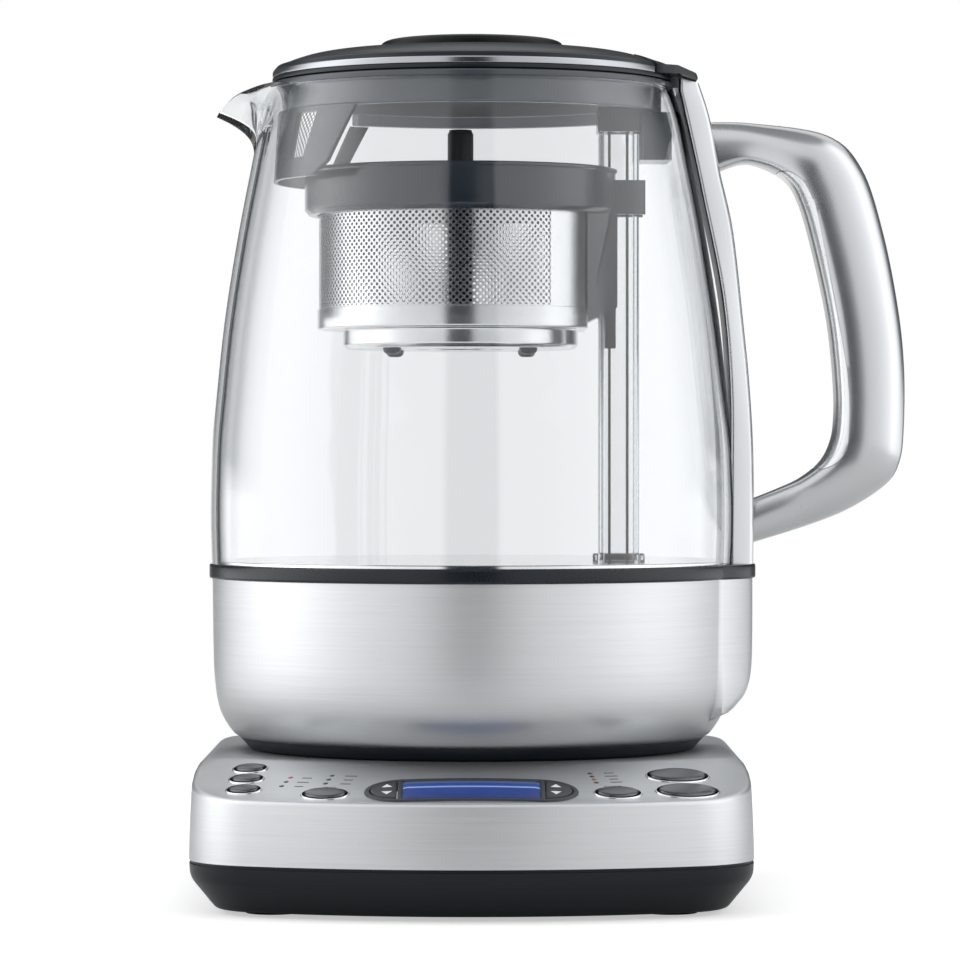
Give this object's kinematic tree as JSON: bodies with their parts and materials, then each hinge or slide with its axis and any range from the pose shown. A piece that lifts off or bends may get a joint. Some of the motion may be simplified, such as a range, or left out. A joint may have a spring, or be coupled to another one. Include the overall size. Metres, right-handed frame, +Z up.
{
  "type": "automatic tea maker",
  "caption": "Glass tea jug with steel lower body, lifting basket and cast handle on a low powered base with display, keys and rockers.",
  "frame": {"origin": "middle of the bounding box's bottom face, on the table under the rubber feet", "axes": "+Z up, +X towards the jug's handle, -Y towards the key panel at the front"},
  "size_m": [0.2448, 0.2192, 0.2965],
  "materials": {
    "brushed_steel": "fine horizontal brushing, satin",
    "polished_steel": "polished",
    "basket_steel": "bright, finely perforated",
    "cast_metal": "satin cast metal, lightly polished",
    "dome_steel": "dark polished dome",
    "black_plastic": "fine moulded grain",
    "charcoal_plastic": "semi-gloss moulded",
    "grey_plastic": "smooth moulded, satin",
    "clear_glass": "clear, polished",
    "clear_plastic": "clear moulded tube",
    "display_blue": "lit blue window",
    "bezel_grey": "dark satin",
    "key_metal": "satin oval keys",
    "rubber_black": "matt rubber",
    "contact_brass": "bright contacts",
    "board_green": "solder mask",
    "relay_blue": "moulded case",
    "lamp_lens": "milky light pipes",
    "motor_metal": "zinc plated",
    "pulley_plastic": "natural moulded",
    "screw_steel": "plated",
    "magnet_metal": "nickel plated"
  },
  "bodies": {
    "base": {"base_shell": "brushed_steel", "bottom_tray": "black_plastic", "rubber_feet": "rubber_black", "tray_screws": "screw_steel", "seat_insert": "black_plastic", "base_connector": "black_plastic", "connector_contacts": "contact_brass", "panel_bezel": "bezel_grey", "display_lens": "display_blue", "display_module": "relay_blue", "main_board": "board_green", "key_boards": "board_green", "tact_switches": "black_plastic", "indicator_leds": "lamp_lens", "button_rims": "polished_steel", "power_relay": "relay_blue", "cord_gland": "black_plastic"},
    "connector_shroud": {"connector_shroud": "charcoal_plastic"},
    "jug": {"jug_glass": "clear_glass", "steel_body": "brushed_steel", "seal_band": "charcoal_plastic", "jug_underside": "black_plastic", "jug_coupler": "charcoal_plastic", "coupler_contacts": "contact_brass", "heater_plate": "polished_steel", "heating_element": "motor_metal", "temperature_sensor": "polished_steel", "lift_motor": "motor_metal", "underside_screws": "screw_steel", "spine_cover": "cast_metal", "handle": "cast_metal", "handle_liner": "cast_metal", "handle_screws": "screw_steel", "top_collar": "grey_plastic", "spout_filter": "grey_plastic", "guide_post": "clear_plastic", "drive_belt": "rubber_black"},
    "lid": {"lid_base": "charcoal_plastic", "lid_trim": "polished_steel", "lid_dome": "dome_steel", "lid_knob": "black_plastic", "lid_tab": "charcoal_plastic", "lid_seal": "rubber_black"},
    "basket": {"basket_collar": "grey_plastic", "basket_mesh": "basket_steel", "basket_base": "basket_steel", "basket_magnets": "magnet_metal"},
    "basket_lid": {"basket_lid": "black_plastic"},
    "magnet_carriage": {"magnet_carriage": "grey_plastic"},
    "drive_pulley": {"drive_pulley": "pulley_plastic"},
    "idler_pulley": {"idler_pulley": "pulley_plastic"},
    "temperature_rocker": {"temperature_rocker": "bezel_grey"},
    "time_rocker": {"time_rocker": "bezel_grey"},
    "tea_type_button": {"tea_type_button": "key_metal"},
    "strength_button": {"strength_button": "key_metal"},
    "auto_start_button": {"auto_start_button": "key_metal"},
    "keep_warm_button": {"keep_warm_button": "key_metal"},
    "clock_button": {"clock_button": "key_metal"},
    "hot_water_button": {"hot_water_button": "key_metal"},
    "tea_button": {"tea_button": "key_metal"}
  },
  "joints": [
    {"name": "jug_swivel", "type": "hinge", "parent": "base", "child": "connector_shroud", "pos_m": [-0.0283, 0.0084, 0.05], "axis": [0, 0, 1], "continuous": true},
    {"name": "jug_lift_off", "type": "slide", "parent": "connector_shroud", "child": "jug", "axis": [0, 0, 1], "range_m": [0, 0.06]},
    {"name": "lid_lift_off", "type": "slide", "parent": "jug", "child": "lid", "axis": [0, 0, 1], "range_m": [0, 0.05]},
    {"name": "basket_lift", "type": "slide", "parent": "jug", "child": "basket", "axis": [0, 0, 1], "range_m": [-0.068, 0]},
    {"name": "basket_lid_lift", "type": "slide", "parent": "basket", "child": "basket_lid", "axis": [0, 0, 1], "range_m": [0, 0.008]},
    {"name": "carriage_slide", "type": "slide", "parent": "jug", "child": "magnet_carriage", "axis": [0, 0, 1], "range_m": [-0.0685, 0.0005]},
    {"name": "drive_pulley_spin", "type": "hinge", "parent": "jug", "child": "drive_pulley", "pos_m": [0.0227, 0.0084, 0.098], "axis": [0, 1, 0], "range_deg": [-1265, 10]},
    {"name": "idler_pulley_spin", "type": "hinge", "parent": "jug", "child": "idler_pulley", "pos_m": [0.0227, 0.0084, 0.2679], "axis": [0, 1, 0], "range_deg": [-1265, 10]},
    {"name": "tea_type_press", "type": "slide", "parent": "base", "child": "tea_type_button", "axis": [-0.0758, -0.2772, 0.9578], "range_m": [-0.001, 0], "stiffness_N_per_m": 600, "springref_m": 0.0006},
    {"name": "strength_press", "type": "slide", "parent": "base", "child": "strength_button", "axis": [0.0763, -0.277, 0.9578], "range_m": [-0.001, 0], "stiffness_N_per_m": 600, "springref_m": 0.0006},
    {"name": "auto_start_press", "type": "slide", "parent": "base", "child": "auto_start_button", "axis": [-0.1201, -0.2611, 0.9578], "range_m": [-0.001, 0], "stiffness_N_per_m": 600, "springref_m": 0.0006},
    {"name": "keep_warm_press", "type": "slide", "parent": "base", "child": "keep_warm_button", "axis": [-0.126, -0.2583, 0.9578], "range_m": [-0.001, 0], "stiffness_N_per_m": 600, "springref_m": 0.0006},
    {"name": "clock_press", "type": "slide", "parent": "base", "child": "clock_button", "axis": [-0.1318, -0.2553, 0.9578], "range_m": [-0.001, 0], "stiffness_N_per_m": 600, "springref_m": 0.0006},
    {"name": "hot_water_press", "type": "slide", "parent": "base", "child": "hot_water_button", "axis": [0.1178, -0.2621, 0.9578], "range_m": [-0.001, 0], "stiffness_N_per_m": 600, "springref_m": 0.0006},
    {"name": "tea_press", "type": "slide", "parent": "base", "child": "tea_button", "axis": [0.1132, -0.2641, 0.9578], "range_m": [-0.001, 0], "stiffness_N_per_m": 600, "springref_m": 0.0006},
    {"name": "temperature_rock", "type": "hinge", "parent": "base", "child": "temperature_rocker", "pos_m": [-0.0283, -0.09544, 0.04118], "axis": [1, 0, 0], "range_deg": [-3.5, 3.5], "stiffness_Nm_per_rad": 0.06},
    {"name": "time_rock", "type": "hinge", "parent": "base", "child": "time_rocker", "pos_m": [-0.0283, -0.09544, 0.04118], "axis": [1, 0, 0], "range_deg": [-3.5, 3.5], "stiffness_Nm_per_rad": 0.06}
  ],
  "couplings": [
    {"joint": "carriage_slide", "follows": "basket_lift", "ratio": 1},
    {"joint": "drive_pulley_spin", "follows": "basket_lift", "rad_per_m": 322.58},
    {"joint": "idler_pulley_spin", "follows": "basket_lift", "rad_per_m": 322.58}
  ]
}
